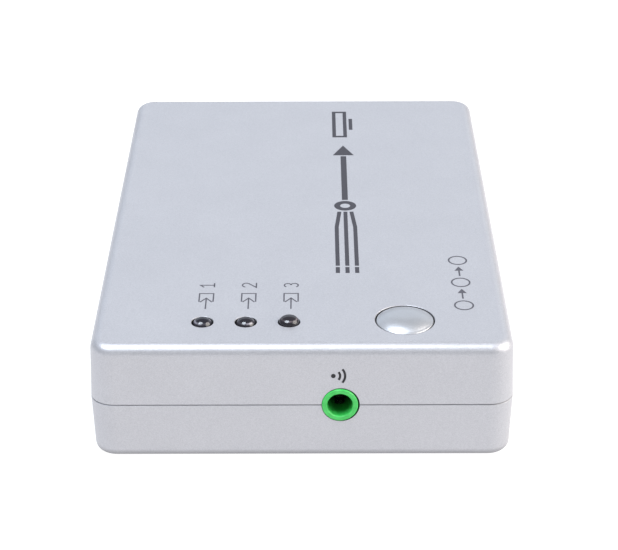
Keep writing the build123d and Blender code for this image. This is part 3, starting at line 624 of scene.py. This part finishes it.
def on_front(x, z):
    """A mark on the leaning end wall, so u runs along +X and v upwards."""
    def place(u, v, lift):
        height = z + v
        return x + u, front_face + (height - seam_height) * math.tan(draft) - lift, height
    return place


def bar(shape, low, high, place):
    """A solid oblong between two corners."""
    prism(shape, [low, (high[0], low[1]), high, (low[0], high[1])], place)


def arrow(shape, tip, length, width, place):
    """A solid arrow head that points along u."""
    u, v = tip
    prism(shape, [(u, v), (u - length, v + width / 2), (u - length, v - width / 2)], place)


# The selector diagram: three lines into one, an arrow and a screen
strip_x = 6.76 * mm
strip_start = -22.8 * mm
strip_width = 3.5 * mm
line_stroke = 0.62 * mm
bold_stroke = 0.95 * mm
piece_gap = 0.45 * mm
plug_length = 1.9 * mm
bend_start, bend_end = 15.5 * mm, 21.0 * mm
bend_offset = 0.95 * mm
arrow_start = 42.95 * mm
arrow_length = 4.0 * mm
screen_start, screen_end = 50.5 * mm, 61.8 * mm
screen_lift = 1.0 * mm
screen_foot = 2.4 * mm


def input_lines(shape, place):
    """Three plugs and the lines from them, the outer two bent towards the middle."""
    for side in (-1, 0, 1):
        v = side * (strip_width - line_stroke) / 2
        bar(shape, (0, v - line_stroke / 2), (plug_length, v + line_stroke / 2), place)
        path = [(plug_length + piece_gap, v)]
        if side:
            path.append((bend_start, v))
        path.append((bend_end, side * bend_offset))
        ribbon(shape, path, line_stroke, place)


def output_line(shape, place):
    """A ring, the line out of it and the arrow head."""
    hub = bend_end + piece_gap + strip_width / 2
    ring(shape, (hub, 0), (strip_width - bold_stroke) / 2, bold_stroke, place)
    line_start = hub + strip_width / 2 + piece_gap
    ribbon(shape, [(line_start, 0), (arrow_start - piece_gap, 0)], bold_stroke, place)
    arrow(shape, (arrow_start + arrow_length, 0), arrow_length, strip_width, place)


def screen_mark(shape, place):
    """A frame of four bars on a foot."""
    base, top = -strip_width / 2, strip_width / 2
    sill = base + screen_lift
    inner_low, inner_high = sill + line_stroke, top - line_stroke
    bar(shape, (screen_start, sill), (screen_end, inner_low), place)
    bar(shape, (screen_start, inner_high), (screen_end, top), place)
    bar(shape, (screen_start, inner_low), (screen_start + line_stroke, inner_high), place)
    bar(shape, (screen_end - line_stroke, inner_low), (screen_end, inner_high), place)
    middle = (screen_start + screen_end) / 2
    bar(shape, (middle - screen_foot, base), (middle + screen_foot, base + line_stroke), place)


def selector_diagram(shape):
    """The three inputs, the one output and its screen."""
    place = on_top(strip_x, strip_start)
    input_lines(shape, place)
    output_line(shape, place)
    screen_mark(shape, place)


new_piece("selector_diagram", selector_diagram, bold_ink)


# Lamp numbers, each after a small arrow that goes into a bracket
legend_shift = 0.22 * mm
legend_near = 3.85 * mm
legend_height = 2.25 * mm
fine_stroke = 0.2 * mm
shaft_end = 3.1 * mm
barb_start, barb_end, barb_reach = 2.1 * mm, 3.3 * mm, 0.85 * mm
bracket_start, bracket_end = 2.2 * mm, 4.7 * mm
numeral_start = 6.5 * mm


def numeral_strokes(text):
    """The strokes of a numeral of unit height, its foot on the line."""
    if text == "1":
        return [[(0.08, 0.74), (0.36, 1), (0.36, 0)], [(0.08, 0), (0.64, 0)]]
    if text == "2":
        return [arc((0.36, 0.72), 0.28, 165, -40, 8) + [(0.04, 0), (0.68, 0)]]
    return [arc((0.33, 0.75), 0.25, 150, -80, 8), arc((0.33, 0.27), 0.27, 80, -150, 8)]


def lamp_legend(text, node):
    """An arrow into a bracket, then the input's number."""
    lamp = centre_of(node)
    place = on_top(lamp.x + legend_shift, lamp.y + legend_near)

    def build(shape):
        drawn_height = legend_height - fine_stroke
        rail = drawn_height / 2
        ribbon(shape, [(0, 0), (shaft_end, 0)], fine_stroke, place)
        barbs = [(barb_start, barb_reach), (barb_end, 0), (barb_start, -barb_reach)]
        ribbon(shape, barbs, fine_stroke, place)
        bracket = [(bracket_start, rail), (bracket_end, rail), (bracket_end, -rail), (bracket_start, -rail)]
        ribbon(shape, bracket, fine_stroke, place)
        for stroke in numeral_strokes(text):
            path = [(numeral_start + u * legend_height, (v - 0.5) * drawn_height) for u, v in stroke]
            ribbon(shape, path, fine_stroke, place)

    new_piece(f"lamp_legend_{text}", build, fine_ink)


for number, node in enumerate(lamps, 1):
    lamp_legend(str(number), node)


# The button's mark: one ring after another, joined by arrows
mark_shift = (8.7 * mm, 2.8 * mm)
mark_stroke = 0.24 * mm
mark_radius = 1.45 * mm
mark_length = 17.1 * mm
mark_gap = 0.6 * mm
mark_arrow = 1.3 * mm


def button_mark(shape):
    """Three rings in a row, with an arrow from each to the next."""
    button = centre_of("select_button")
    place = on_top(button.x + mark_shift[0], button.y + mark_shift[1])
    step = mark_length / 2 - mark_radius
    for i in range(3):
        centre = mark_radius + i * step
        ring(shape, (centre, 0), mark_radius - mark_stroke / 2, mark_stroke, place)
        if i < 2:
            start = centre + mark_radius + mark_gap
            end = centre + step - mark_radius - mark_gap
            ribbon(shape, [(start, 0), (end - mark_arrow, 0)], mark_stroke, place)
            arrow(shape, (end, 0), mark_arrow, mark_arrow, place)


new_piece("button_mark", button_mark, fine_ink)


# The jack's mark: a dot that sends out two waves
wave_shift = 0.95 * mm
wave_height = 13.45 * mm
wave_stroke = 0.33 * mm
wave_radii = (0.95 * mm, 1.65 * mm)
wave_angle = 40
dot_radius = 0.33 * mm


def jack_mark(shape):
    """The dot and its waves, above the jack on the end wall."""
    place = on_front(centre_of("ir_jack_body").x - wave_shift, wave_height)
    prism(shape, arc((0, 0), dot_radius, 0, 360, arc_sides)[:-1], place)
    for radius in wave_radii:
        ribbon(shape, arc((0, 0), radius, -wave_angle, wave_angle, arc_sides // 4), wave_stroke, place)


new_piece("jack_mark", jack_mark, dark_ink)


# Floor, light and camera
floor_half = 3.0


def stage_floor():
    """A white panel lit from below, so that the case throws next to no shadow on it."""
    material, tree, shader = new_material("floor_look")
    clouds = noise(tree, 90 * mm, detail=2)
    tree.links.new(mixed(tree, clouds, (0.19, 0.19, 0.19), (0.21, 0.21, 0.21)), shader.inputs["Base Color"])
    shader.inputs["Roughness"].default_value = 0.9
    shader.inputs["Specular IOR Level"].default_value = 0.0
    shader.inputs["Emission Color"].default_value = (1, 1, 1, 1)
    shader.inputs["Emission Strength"].default_value = 0.95
    mesh = bpy.data.meshes.new("floor")
    corners = [(floor_half * x, floor_half * y, 0) for x, y in ((-1, -1), (1, -1), (1, 1), (-1, 1))]
    mesh.from_pydata(corners, [], [(0, 1, 2, 3)])
    mesh.materials.append(material)
    floor = bpy.data.objects.new("floor", mesh)
    bpy.context.scene.collection.objects.link(floor)


def area_light(name, place, aim, size, watts, colour, shape="ELLIPSE"):
    """A soft flat light that looks from its place at its aim."""
    light = bpy.data.lights.new(name, "AREA")
    light.shape = shape
    light.size, light.size_y = size
    light.energy = watts
    light.color = colour
    lamp = bpy.data.objects.new(name, light)
    bpy.context.scene.collection.objects.link(lamp)
    lamp.location = place
    lamp.rotation_euler = (Vector(aim) - Vector(place)).to_track_quat("-Z", "Y").to_euler()


def studio():
    """A cool key nearly overhead, a pale card far behind and a warm light on the right."""
    world = bpy.data.worlds.new("studio")
    world.use_nodes = True
    background = world.node_tree.nodes["Background"]
    background.inputs["Color"].default_value = (0.92, 0.96, 1.0, 1)
    background.inputs["Strength"].default_value = 0.30
    bpy.context.scene.world = world
    area_light("key", (-0.30, -0.19, 0.94), (0, 0, 0), (0.62, 0.62), 12.6, (0.860, 0.942, 1.04))
    area_light(
        "back_card", (-0.1, 0.9, 0.43), (0, 0, 0.02), (1.6, 0.42), 1.6, (0.78, 0.88, 1.0), "RECTANGLE")
    area_light("right_side", (0.80, -0.10, 0.53), (0, 0, 0.01), (0.95, 0.95), 12.5, (1.0, 0.95, 0.88))


def camera():
    """The photograph's viewpoint."""
    data = bpy.data.cameras.new("camera")
    data.sensor_width = sensor_width
    data.lens = camera_lens
    data.clip_start, data.clip_end = 0.01, 20
    eye = bpy.data.objects.new("camera", data)
    bpy.context.scene.collection.objects.link(eye)
    turn = Matrix.Rotation(-camera_yaw, 4, "Z") @ Matrix.Rotation(math.pi / 2 - camera_pitch, 4, "X")
    eye.matrix_world = Matrix.Translation(camera_place) @ turn @ Matrix.Rotation(-camera_roll, 4, "Z")
    bpy.context.scene.camera = eye


stage_floor()
studio()
camera()
bpy.context.scene.view_settings.view_transform = "Standard"
